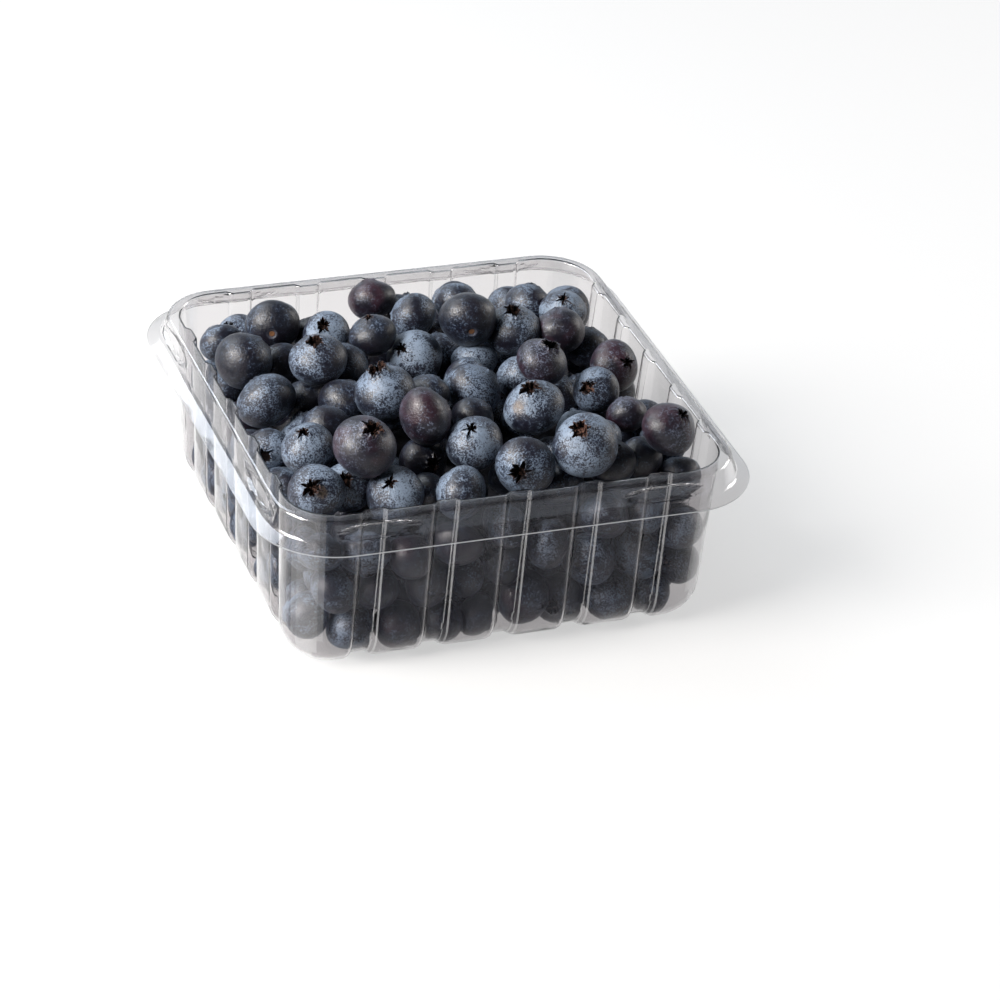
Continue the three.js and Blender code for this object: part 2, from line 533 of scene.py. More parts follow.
@dataclass(frozen=True)
class PaleFloor:
    """A plain pale floor that glows like a light table, and is flagged off from what stands on it."""

    colour: Colour = (0.32, 0.32, 0.32)
    roughness: float = 0.7
    glow: Colour = (1.0, 1.0, 1.0)
    glow_strength: float = 0.56
    bounce: Colour = (0.24, 0.24, 0.25)

    def material(self) -> Material:
        """Builds the material.

        Returns:
            The material.
        """
        material, graph = new_material("pale_floor")
        inputs = {"Base Color": self.colour, "Roughness": self.roughness}
        inputs |= {"Emission Color": self.glow, "Emission Strength": self.glow_strength}
        body = graph.add("ShaderNodeBsdfPrincipled", inputs)
        flagged = graph.add("ShaderNodeBsdfDiffuse", {"Color": self.bounce})
        graph.cover(graph.mix(graph.add("ShaderNodeLightPath").outputs["Is Diffuse Ray"], body, flagged))
        return material


# ---------------- the tray


@dataclass
class Tray:
    """The clear tray: a flange, a sloping collar with lid catches, a ledge and a ribbed body in one sheet.

    The sheet is modelled by its upper side, which is the outside of the rim and the inside of the body, and
    then thickened away from it. An "out" is measured from the edge of the ledge and a drop from its top.
    """

    height: float = field(default_factory=lambda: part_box("tray")[1].z)
    flange_half: float = field(default_factory=lambda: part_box("tray")[1].x)
    thickness: float = 0.45 * MM
    flange_out: float = 5.3 * MM
    flange_drop: float = 7.0 * MM
    foot_out: float = 1.9 * MM
    foot_drop: float = 5.8 * MM
    ledge_fall: float = 0.5 * MM
    ledge_radius: float = 15 * MM
    body_half: float = 57.2 * MM
    draw_in: float = 0.035
    foot_rounding: float = 10 * MM
    foot_steps: int = 7
    foot_ring: float = 5 * MM
    ring_in_rib: float = 0.7
    rib_count: int = 5
    rib_pitch: float = 18.7 * MM
    rib_width: float = 7.2 * MM
    rib_flank: float = 1.2 * MM
    rib_depth: float = 2.3 * MM
    rib_depth_at_rim: float = 1.2 * MM
    catch_length: float = 22 * MM
    catch_height: float = 3.6 * MM
    catch_depth: float = 0.9 * MM
    catch_drop: float = 3.4 * MM
    catch_cuts: int = 11
    catch_steepness: float = 2.2
    edge_rounding: float = 0.7 * MM
    edge_segments: int = 3
    edge_angle: float = math.radians(28)
    smooth_degrees: float = 35
    rim_gloss: float = 0.20
    rim_slope: float = 0.2
    corner_gloss: float = 0.40
    edge_gloss: float = 1.0
    edge_lean: Span = (0.55, 0.78)
    corner_start: float = 49.5 * MM
    corner_steps: int = 12
    berry_gap: float = 0.05 * MM
    hair: float = 0.05 * MM

    @property
    def ledge_half(self) -> float:
        """Half the width over the ledge."""
        return self.flange_half - self.flange_out

    @property
    def inner_half(self) -> float:
        """Half the width inside the body, at the rim and between the ribs."""
        return self.body_half - self.thickness

    @property
    def base_half(self) -> float:
        """Half the width of the flat base."""
        return self.inner_half * self.drawn_in(self.foot_rounding) - self.foot_rounding + self.thickness

    @property
    def corner_radius(self) -> float:
        """The radius of the body's corners, on the inside."""
        return self.ledge_radius - (self.ledge_half - self.inner_half)

    @property
    def rib_middles(self) -> list[float]:
        """The places of one side's ribs along it."""
        return [(rib - (self.rib_count - 1) / 2) * self.rib_pitch for rib in range(self.rib_count)]

    def drawn_in(self, z: float | Array) -> float | Array:
        """How much of its width at the rim the body still has at a height."""
        return 1 - self.draw_in * (1 - z / self.height)

    def keep_in(self, points: Array, inset: object = 0.0, rib_share: float = 1.0) -> Array:
        """Moves what lies in or past the wall back to its inner side: ribs, corners, foot and all.

        Args:
            points: Places, one row each, changed in place.
            inset: How far each stays away from the wall.
            rib_share: The share of the ribs' depth that counts.

        Returns:
            The same array.
        """
        height = points[:, 2].clip(0, self.height)
        away = inset + self.berry_gap
        half = self.inner_half * self.drawn_in(height) - away
        corner = np.maximum(self.corner_radius - away, 0)
        foot = np.maximum(self.foot_rounding - self.thickness - away, 0)
        depth = self.rib_depth + (self.rib_depth_at_rim - self.rib_depth) * height / self.height
        beyond = []
        for across in (0, 1):
            along = points[:, 1 - across]
            nearest = np.min([np.abs(along - middle) for middle in self.rib_middles], axis=0)
            rib = ((self.rib_width / 2 - nearest) / self.rib_flank).clip(0, 1) * depth * rib_share
            beyond.append((np.abs(points[:, across]) - (half - rib - corner)).clip(0))
        reach = np.hypot(*beyond)
        outwards = (np.minimum(reach, corner) - (corner - foot)).clip(0)
        downwards = (self.thickness + away + foot - points[:, 2]).clip(0)
        slant = np.hypot(outwards, downwards)
        pull = np.where(slant > foot, foot / slant.clip(TINY), 1.0)
        new_reach = np.minimum(reach, corner) - outwards * (1 - pull)
        below_rim = points[:, 2] < self.height + self.berry_gap
        for axis in (0, 1):
            back = beyond[axis] * (1 - new_reach / reach.clip(TINY))
            points[:, axis] -= np.where(below_rim, np.sign(points[:, axis]) * back, 0.0)
        points[:, 2] += downwards * (1 - pull)
        return points

    def build(self) -> Piece:
        """Models the tray and dresses it.

        Returns:
            The finished tray.
        """
        tray = self._form_rim()
        self._draw_body()
        self._press_ribs(tray)
        edit(False)
        settle_in_place(tray)
        rounding = {"width": self.edge_rounding, "segments": self.edge_segments}
        add_modifier(tray, "BEVEL", limit_method="ANGLE", angle_limit=self.edge_angle, **rounding)
        self._press_catches(tray)
        tray.data.materials.clear()
        tray.data.materials.append(ClearSheet().material())
        tray.data.materials.append(CutEdge().material())
        even = {"use_even_offset": True, "material_offset_rim": 1}
        add_modifier(tray, "SOLIDIFY", thickness=self.thickness, offset=-1, **even)
        smooth_by_angle(tray, self.smooth_degrees)
        self._mark_gloss(tray)
        return tray

    def _form_rim(self) -> Piece:
        """Forms the flange, the collar and the ledge, inset step by step from one round-cornered face.

        Returns:
            The tray in edit mode, with the face inside the ledge selected.
        """
        deselect_all()
        place = (0, 0, self.height - self.flange_drop)
        bpy.ops.mesh.primitive_plane_add(size=2 * self.flange_half, location=place)
        tray = bpy.context.object
        tray.name = "clear_tray"
        settle_in_place(tray)
        edit()
        bpy.ops.mesh.select_all(action="SELECT")
        radius = self.ledge_radius + self.flange_out
        bpy.ops.mesh.bevel(offset=radius, segments=self.corner_steps, affect="VERTICES", clamp_overlap=False)
        select_where(tray, lambda centre: True)
        for inwards, upwards in (
            (self.flange_out - self.foot_out, self.flange_drop - self.foot_drop),
            (self.foot_out, self.foot_drop - self.ledge_fall),
            (self.ledge_half - self.inner_half, self.ledge_fall),
        ):
            bpy.ops.mesh.inset(thickness=inwards, depth=upwards)
        return tray

    def _draw_body(self) -> None:
        """The body, drawn down from the ledge's inner edge to a rounded foot and a flat base."""
        base = self.thickness
        rounding = self.foot_rounding - self.thickness
        straight = self.foot_rounding
        bpy.ops.mesh.extrude_region_move(TRANSFORM_OT_translate={"value": (0, 0, straight - self.height)})
        share = self.drawn_in(straight)
        bpy.ops.transform.resize(value=(share, share, 1), center_override=(0, 0, straight))
        gone_in, gone_down = 0.0, 0.0
        for step in range(1, self.foot_steps + 1):
            angle = step / self.foot_steps * math.pi / 2
            inwards = rounding * (1 - math.cos(angle))
            downwards = (straight - base) * math.sin(angle)
            bpy.ops.mesh.inset(thickness=inwards - gone_in, depth=gone_down - downwards)
            gone_in, gone_down = inwards, downwards
        bpy.ops.mesh.extrude_region_move(TRANSFORM_OT_translate={"value": (0, 0, 0)})
        share = 1 - self.foot_ring / self.base_half
        bpy.ops.transform.resize(value=(share, share, 1), center_override=(0, 0, base))

    @staticmethod
    def _cut(tray: Piece, across: int, places: Iterable[float], wanted: Callable[[Vector], bool]) -> None:
        """Cuts across two opposite sides.

        Args:
            tray: The tray in edit mode.
            across: The axis that the sides face along.
            places: Where the cuts go along the sides.
            wanted: Says of a face's centre whether it may be cut.
        """
        normal = [across, 1 - across, 0]
        for place in places:
            select_where(tray, wanted)
            bpy.ops.mesh.bisect(plane_co=[place * part for part in normal], plane_no=normal)

    def _press_ribs(self, tray: Piece) -> None:
        """Presses the ribs: cuts across each side at their edges, with what lies between pushed inwards.

        Args:
            tray: The tray in edit mode.
        """
        foot = self.rib_width / 2
        crest = foot - self.rib_flank
        edge = self.base_half - self.ring_in_rib * self.foot_ring
        straight = self.inner_half - self.ledge_radius / 2
        offsets = (-foot, -crest, crest, foot)
        places = [middle + offset for middle in self.rib_middles for offset in offsets]
        for across in (0, 1):
            self._cut(
                tray,
                across,
                places,
                lambda place: abs(place[across]) > edge and abs(place[1 - across]) < straight,
            )
        low_top = self.height - self.ledge_fall - self.hair
        steps = [
            (self.rib_depth_at_rim, 0.0, math.inf),
            (self.rib_depth - self.rib_depth_at_rim, self.rib_depth_at_rim, low_top),
        ]
        for across, side, middle, (push, pushed, top) in product((0, 1), (-1, 1), self.rib_middles, steps):
            select_where(
                tray,
                lambda place: abs(place[1 - across] - middle) < crest + self.hair
                and place.z < top
                and self.base_half - pushed - self.hair < place[across] * side < self.inner_half + self.hair,
                points=True,
            )
            way = [0.0, 0.0, 0.0]
            way[across] = -side * push
            bpy.ops.transform.translate(value=way)

    def _press_catches(self, tray: Piece) -> None:
        """Presses the lens-shaped lid catches, two to a side, into a finer stretch of the collar.

        Args:
            tray: The tray, before it has its thickness.
        """
        edit()
        middles = [self.rib_middles[0], self.rib_middles[-1]]
        reach = self.catch_length / 2
        low = self.height - self.foot_drop + self.edge_rounding
        high = self.height - self.ledge_fall - self.edge_rounding

        def on_collar(place: Vector, across: int) -> bool:
            """True for a face of one pair of sides that lies on the collar's slope."""
            return abs(place[across]) > self.ledge_half and low < place.z < high

        def by_catch(place: Vector, across: int) -> float:
            """How far along its side a place is from the middle of the nearest catch."""
            return min(abs(place[1 - across] - middle) for middle in middles)

        places = [middle + end for middle in middles for end in (-reach, reach)]
        for across in (0, 1):
            self._cut(
                tray,
                across,
                places,
                lambda place: on_collar(place, across) and abs(place[1 - across]) < self.ledge_half,
            )
        for across in (0, 1):
            select_where(tray, lambda place: on_collar(place, across) and by_catch(place, across) < reach)
            bpy.ops.mesh.subdivide(number_cuts=self.catch_cuts)
        edit(False)
        group = tray.vertex_groups.new(name="catches")
        for point in tray.data.vertices:
            place = point.co
            across = 0 if abs(place.x) > abs(place.y) else 1
            on_slope = low - self.edge_rounding < place.z < high + self.edge_rounding
            if not on_slope or abs(place[across]) < self.ledge_half - self.edge_rounding:
                continue
            away = by_catch(place, across) / reach
            off = abs(place.z - (self.height - self.catch_drop)) / (self.catch_height / 2)
            depth = 1 - away**2 - off**2
            if depth > 0:
                group.add([point.index], min(1.0, self.catch_steepness * depth), "REPLACE")
        pressed = {"strength": -self.catch_depth, "mid_level": 0.0, "vertex_group": "catches"}
        add_modifier(tray, "DISPLACE", direction="NORMAL", **pressed)
        tray.vertex_groups.clear()

    def _mark_gloss(self, tray: Piece) -> None:
        """Marks how much each face mirrors: most on the rim, the corners and one edge of each rib. The same
        mark gives these faces a lighter tint, which is painted light.

        Args:
            tray: The finished tray.
        """
        mark = tray.data.attributes.new("gloss", "FLOAT", "FACE")
        body_top = self.height - self.flange_drop
        for face in tray.data.polygons:
            place, normal = face.center, face.normal
            across = 0 if abs(place.x) > abs(place.y) else 1
            lean = (2 * across - 1) * math.copysign(1, place[across]) * normal[1 - across]
            outwards = place[across] * normal[across] > 0
            if place.z > body_top and abs(normal.z) > self.rim_slope:
                gloss = self.rim_gloss
            elif min(abs(place.x), abs(place.y)) > self.corner_start:
                gloss = self.corner_gloss
            elif outwards and self.edge_lean[0] < lean < self.edge_lean[1]:
                gloss = self.edge_gloss
            else:
                gloss = 0.0
            mark.data[face.index].value = gloss


# ---------------- one berry


class Crown(Enum):
    """How a berry's crown has dried: opening, reach of the star's points, lift and lean of its lobes."""

    STAR = (0.16, 0.21, 0.060, 0.01)
    WIDE = (0.25, 0.17, 0.075, 0.03)
    SHUT = (0.09, 0.18, 0.040, 0.00)
    TALL = (0.22, 0.12, 0.190, 0.06)
    RAGGED = (0.20, 0.20, 0.120, 0.05)


@dataclass
class BerryShape:
    """One berry of unit radius, its crown upwards, modelled once and then copied."""

    crown: Crown
    segments: int
    rings: int
    seed: int
    lobes: int
    crown_angle: float = math.radians(30)
    scar_angle: float = math.radians(18)
    lip: float = 0.26
    over_lip: tuple[Span, ...] = ((0.80, 0.045), (0.55, 0.085), (0.30, 0.11), (0.12, 0.125), (0.0, 0.13))
    under_lip: tuple[Span, ...] = ((0.02, 0.115), (0.035, 0.04), (0.06, -0.07), (0.12, -0.12), (0.21, -0.10))
    scar: tuple[Span, ...] = ((0.20, 0.015), (0.14, -0.015), (0.115, -0.03), (0.09, 0.012), (0.04, -0.012))
    sharpness: float = 2.8
    torn: float = 0.030
    tears: tuple[int, ...] = (7, 12, 19)
    lobe_length: Span = (0.4, 1.35)
    lobe_rise: Span = (0.4, 1.6)
    lobe_turn: Span = (-0.20, 0.20)
    star_ease: float = 1.3
    lean_outside: float = 3
    lean_inside: float = 6
    dried_from: float = 0.9
    dried_gain: float = 4.0
    crown_margin: float = 0.02
    inside_margin: float = 0.01
    hair: float = 1e-4

    def model(self) -> Piece:
        """Models the berry from a ball whose two poles are rebuilt ring by ring.

        Returns:
            The berry's object, with the attribute crown_inside.
        """
        deselect_all()
        bpy.ops.mesh.primitive_uv_sphere_add(segments=self.segments, ring_count=self.rings, radius=1)
        berry = bpy.context.object
        edit()
        limit = math.cos(self.crown_angle)
        radius, height = self._open_pole(berry, lambda centre: centre.z > limit)
        rings = [(self.lip + (radius - self.lip) * share, height + rise) for share, rise in self.over_lip]
        rings += [(self.lip - inwards, height + rise) for inwards, rise in self.under_lip]
        for next_radius, next_height in rings:
            bpy.ops.mesh.inset(thickness=radius - next_radius, depth=next_height - height)
            radius, height = next_radius, next_height
        bpy.ops.mesh.poke()
        limit = -math.cos(self.scar_angle)
        radius, _ = self._open_pole(berry, lambda centre: centre.z < limit)
        for next_radius, outwards in self.scar:
            bpy.ops.mesh.inset(thickness=radius - next_radius, depth=outwards)
            radius = next_radius
        bpy.ops.mesh.poke()
        edit(False)
        self._shape_points(berry)
        return berry

    @staticmethod
    def _open_pole(berry: Piece, wanted: Callable[[Vector], bool]) -> Span:
        """Makes one face of all those at a pole.

        Args:
            berry: The berry in edit mode.
            wanted: Says of a face's centre whether it is at the pole.

        Returns:
            The radius and the height of the face's rim.
        """
        select_where(berry, wanted)
        bpy.ops.mesh.dissolve_faces()
        shape = bmesh.from_edit_mesh(berry.data)
        corner = next(face for face in shape.faces if face.select).verts[0].co
        return corner.xy.length, corner.z

    def _shape_points(self, berry: Piece) -> None:
        """Draws the crown's rings into a star with raised lobes, and marks what lies inside it.

        Args:
            berry: The berry in object mode.
        """
        opening, reach, lift, lean = self.crown.value
        chance = np.random.default_rng(self.seed)
        length, rise, turn = (
            chance.uniform(*span, self.lobes) for span in (self.lobe_length, self.lobe_rise, self.lobe_turn)
        )
        points = read(berry.data.vertices, "co", np.float64, 3)
        outside_radius = math.sin(self.crown_angle)
        radius = np.hypot(points[:, 0], points[:, 1])
        angle = np.arctan2(points[:, 1], points[:, 0])
        crown = (points[:, 2] > 0) & (radius < outside_radius + self.crown_margin)
        part = angle / (2 * math.pi) * self.lobes % self.lobes
        lobe = np.minimum(part.astype(int), self.lobes - 1)
        within = part - lobe + turn[lobe] * np.sin(math.pi * (part - lobe))
        notch = np.abs(2 * within - 1).clip(0, 1) ** self.sharpness
        nearest = np.where(within < 0.5, lobe, (lobe + 1) % self.lobes)
        jagged = np.zeros(len(points))
        for waves in self.tears:
            jagged += self.torn * np.sin(angle * waves + chance.uniform(0, 2 * math.pi))
        star = opening + reach * notch * length[nearest] + jagged
        stands = (1 - notch) * rise[lobe]
        closeness = ((outside_radius - radius) / (outside_radius - self.lip)).clip(0, 1)
        outer = radius >= self.lip - self.hair
        starred = radius + closeness**self.star_ease * (star - self.lip)
        drawn = np.where(outer, starred, radius * star / self.lip)
        leaning = np.where(outer, closeness**self.lean_outside, (radius / self.lip) ** self.lean_inside)
        drawn += lean * stands * leaning
        ratio = np.where(crown, drawn / radius.clip(TINY), 1.0)
        points[:, :2] *= ratio[:, None]
        points[:, 2] += np.where(crown, lift * stands * leaning, 0.0)
        berry.data.vertices.foreach_set("co", points.ravel())
        dried = lift * stands * self.dried_gain * (closeness > self.dried_from)
        sunk = crown & (radius < self.lip - self.inside_margin)
        inside = np.where(sunk, 1.0, dried * crown).clip(0, 1)
        berry.data.attributes.new("crown_inside", "FLOAT", "POINT").data.foreach_set("value", inside)


@dataclass
class Template:
    """A modelled berry as plain arrays, ready to be copied."""

    points: Array
    inside: Array
    corners: Array
    totals: Array

    @classmethod
    def of(cls, shape: BerryShape) -> "Template":
        """Models a berry, reads it and takes its object away.

        Args:
            shape: The berry to model.

        Returns:
            The berry as arrays.
        """
        berry = shape.model()
        mesh = berry.data
        template = cls(
            read(mesh.vertices, "co", np.float64, 3),
            read(mesh.attributes["crown_inside"].data, "value", np.float32),
            read(mesh.loops, "vertex_index", np.int32),
            read(mesh.polygons, "loop_total", np.int32),
        )
        bpy.data.objects.remove(berry)
        bpy.data.meshes.remove(mesh)
        return template


# ---------------- the heap


class Look(Enum):
    """What a berry's skin looks like: its share of bloom and of ruddy skin."""

    BLOOMY = (1.0, 0.1)
    BLUE = (0.70, 0.15)
    DUSKY = (0.26, 0.25)
    RUDDY = (0.28, 1.0)


BLOOMY, BLUE, DUSKY, RUDDY = Look

# For each look: the bare skin, its ruddy blush, the bloom's film and powder, and how thick the powder is.
SKINS = {
    look: BerrySkin("skin_" + look.name.lower(), *colours)
    for look, *colours in (
        (BLOOMY, (0.004, 0.004, 0.009), (0.022, 0.009, 0.016),
         (0.018, 0.024, 0.046), (0.158, 0.201, 0.266), 1.0),
        (BLUE, (0.004, 0.004, 0.008), (0.020, 0.008, 0.014),
         (0.014, 0.019, 0.038), (0.142, 0.184, 0.250), 1.1),
        (DUSKY, (0.003, 0.003, 0.006), (0.014, 0.006, 0.010),
         (0.010, 0.015, 0.034), (0.128, 0.170, 0.240), 1.2),
        (RUDDY, (0.005, 0.004, 0.008), (0.026, 0.009, 0.016),
         (0.012, 0.011, 0.022), (0.143, 0.162, 0.222), 1.3),
    )
}


@dataclass
class Berry:
    """A berry in the heap, in millimetres from the middle of the rim."""

    right: float
    behind: float
    above: float
    width: float
    look: Look
    shows: Optional[Span] = None
    crown: Crown = Crown.STAR
    scar: bool = False
    russet: Optional[Span] = None


# The berries on top, row by row from the back wall to the front wall. What a berry shows is its crown, or
# its stem scar, at a place given in radii to the right and upwards as the camera sees the berry. So is the
# place of a russet mark.
WIDE, TALL, RAGGED = Crown.WIDE, Crown.TALL, Crown.RAGGED
TOP_BERRIES = [
    Berry(-48.5, 38, -4.5, 12, BLUE), Berry(-34.5, 37, 0, 14, DUSKY, (0, -0.45), scar=True),
    Berry(-23.5, 37, -4.5, 11.5, DUSKY), Berry(-3.5, 47.5, -2, 13, RUDDY), Berry(3, 33, 0, 13, BLUE),
    Berry(17, 39, -1, 12.5, BLUE), Berry(37, 38, -3, 12.5, BLUE),
    Berry(43.5, 29, -1, 12.5, BLOOMY, (0, 0.6)), Berry(-23, 27.5, 1, 12.5, BLOOMY, (-0.1, 0.42), RAGGED),
    Berry(-50, 28, -13, 12.5, BLUE), Berry(-36, 26, -5.5, 12.5, DUSKY), Berry(-47, 22, -1, 15.5, DUSKY),
    Berry(-13.5, 18.5, 4.5, 12.5, DUSKY, (-0.18, 0.9)),
    Berry(12, 17, 7, 15, DUSKY, (0.15, -0.57), scar=True), Berry(7.5, 24, -7.5, 13, BLUE),
    Berry(24.5, 17, 2, 15, BLUE, (0.05, 0.77), WIDE), Berry(37, 14.5, 1.5, 13, RUDDY),
    Berry(46, 17, -5.5, 12.5, DUSKY), Berry(24, 20, -10, 12.5, BLUE), Berry(14, 15, -4.5, 12, BLOOMY),
    Berry(-32, 7, 6, 15, BLUE, (-0.09, 0.75), WIDE), Berry(-22.5, 12.5, -0.5, 13, BLUE),
    Berry(-34, 8, -6.5, 12.5, DUSKY), Berry(-46.5, 3, -2, 15.5, BLUE),
    Berry(-2.5, 15.5, -2, 15, BLOOMY, (-0.5, 0.33)), Berry(-28, -3.5, -1.5, 13.5, DUSKY),
    Berry(-20.5, -12, 5.5, 15.5, BLUE, (-0.25, 0.78), TALL), Berry(5, -7.5, 0.5, 14.5, BLUE),
    Berry(20.5, -1.5, -2, 13, BLOOMY), Berry(47, 0, -2, 13.5, RUDDY, (0.55, 0.12)),
    Berry(22.5, -9, 7, 13.5, RUDDY, (0.4, 0.75), WIDE), Berry(36.5, -14, 0, 12, BLUE, (-0.45, 0.1), WIDE),
    Berry(39, -10, -9.5, 11.5, DUSKY, (-0.45, 0.4), WIDE), Berry(-7.5, -9.5, 2, 11.5, DUSKY),
    Berry(1, -19, -1, 11.5, DUSKY), Berry(-50.5, -12, -8, 12.5, BLUE, (-0.15, -0.25), WIDE),
    Berry(-36.5, -14, -1.5, 12.5, DUSKY), Berry(-48.5, -20, -13.5, 12, BLUE),
    Berry(-14.5, -26.5, 6, 14.5, RUDDY), Berry(-44, -24, -1, 14, BLOOMY, (-0.17, 0.66)),
    Berry(-15, -28, -6, 12.5, DUSKY, (0.5, -0.15), RAGGED),
    Berry(14.5, -26, 4.5, 15.5, BLOOMY, (-0.16, 0.72), RAGGED, russet=(-0.55, 0.0)),
    Berry(40.5, -25.5, -1.5, 11, RUDDY), Berry(-4, -34, 1, 15, BLOOMY, (-0.1, 0.6)),
    Berry(-34.5, -37.5, 6, 16, RUDDY, (0.34, 0.6), RAGGED),
    Berry(-37, -34.5, -7, 13, BLOOMY, (-0.1, 0.3), WIDE),
    Berry(-47.5, -40.5, -3.5, 14.5, BLOOMY, (-0.07, 0.2), RAGGED, russet=(0.30, 0.0)),
    Berry(-27.5, -43, -5, 14.5, BLOOMY, (-0.18, 0.45)), Berry(-12, -48, -4, 13.5, BLOOMY),
    Berry(5.5, -46, 0, 14.5, BLUE, (-0.23, -0.23), RAGGED), Berry(15.5, -45, -7.5, 12.5, DUSKY),
    Berry(20.5, -47, 4.5, 16.5, BLOOMY, (-0.18, 0.55), WIDE),
    Berry(29.5, -44, -3.5, 12.5, DUSKY, (-0.1, 0.7), RAGGED), Berry(39, -39, -7, 13, DUSKY),
    Berry(45, -41.5, 3.5, 14.5, RUDDY, (0.55, 0.5)), Berry(48.5, -43, -11.5, 13, BLUE),
]


@dataclass(frozen=True)
class Viewpoint:
    """Where the camera stands, seen from the middle of the rim: angles in degrees, lengths in metres."""

    azimuth: float = -22.17
    elevation: float = 31.07
    roll: float = 4.64
    distance: float = 1.0781
    aside: float = 0.01425
    lifted: float = -0.03098
    lens: float = 151.5

    def axes(self) -> tuple[Vector, Vector, Vector]:
        """Works out which way the camera is turned.

        Returns:
            The camera's right, up and backward directions.
        """
        azimuth, elevation = math.radians(self.azimuth), math.radians(self.elevation)
        level = math.cos(elevation)
        back = Vector((math.sin(azimuth) * level, -math.cos(azimuth) * level, math.sin(elevation)))
        right = Vector((0, 0, 1)).cross(back).normalized()
        up = back.cross(right)
        turn = math.radians(self.roll)
        return (
            math.cos(turn) * right + math.sin(turn) * up,
            math.cos(turn) * up - math.sin(turn) * right,
            back,
        )

    def towards(self, right: float, up: float, back: float) -> Vector:
        """A direction given as the camera sees it."""
        x_axis, y_axis, z_axis = self.axes()
        return (right * x_axis + up * y_axis + back * z_axis).normalized()

    def facing(self, right: float, up: float) -> Vector:
        """The direction of the point that shows at a place on a ball, given in its radii."""
        return self.towards(right, up, math.sqrt(max(0.0, 1 - right * right - up * up)))


@dataclass
class Placed:
    """A berry with its place in the part and the way its crown points."""

    centre: Array
    radius: float
    axis: Vector
    look: Look
    crown: Crown
    in_sight: bool
    tan: float = 0.0
    russet: Optional[Array] = None


